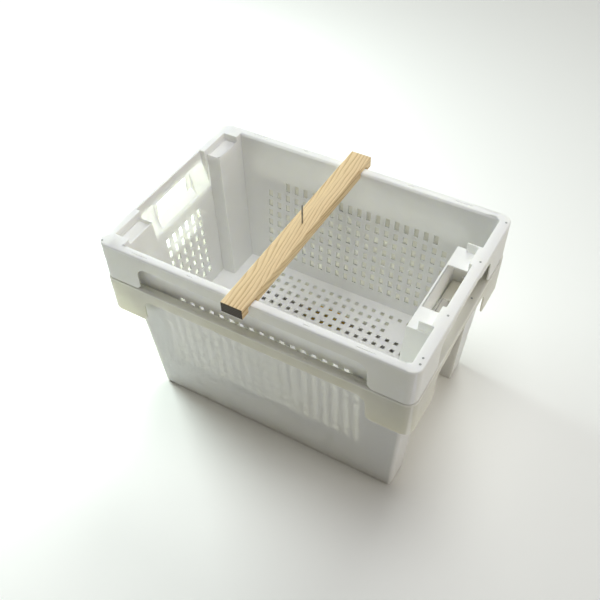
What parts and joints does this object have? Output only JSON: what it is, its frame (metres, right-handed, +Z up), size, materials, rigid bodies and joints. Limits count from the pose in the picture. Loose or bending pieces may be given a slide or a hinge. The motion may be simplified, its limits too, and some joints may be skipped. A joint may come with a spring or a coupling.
{
  "type": "honey uncapping tub",
  "caption": "Strainer basket nested in a honey tub, with a notched wooden rest bar and an upright spike for uncapping frames.",
  "frame": {"origin": "centre of the tub's base, on the surface it stands on", "axes": "+X along the crates towards the end with the finger opening, +Y across them, +Z up"},
  "size_m": [0.6, 0.447, 0.4316],
  "materials": {
    "tub_plastic": "satin natural polyethylene",
    "basket_plastic": "satin natural polyethylene",
    "pine": "planed, oiled",
    "spike_steel": "drawn wire"
  },
  "bodies": {
    "tub": {"tub": "tub_plastic"},
    "basket": {"basket": "basket_plastic"},
    "bar": {"rest_bar": "pine", "spike": "spike_steel"}
  },
  "joints": [
    {"name": "basket_lift", "type": "slide", "parent": "tub", "child": "basket", "axis": [0, 0, 1], "range_m": [0, 0.24]},
    {"name": "bar_lift", "type": "slide", "parent": "basket", "child": "bar", "axis": [0, 0, 1], "range_m": [0, 0.05]}
  ]
}
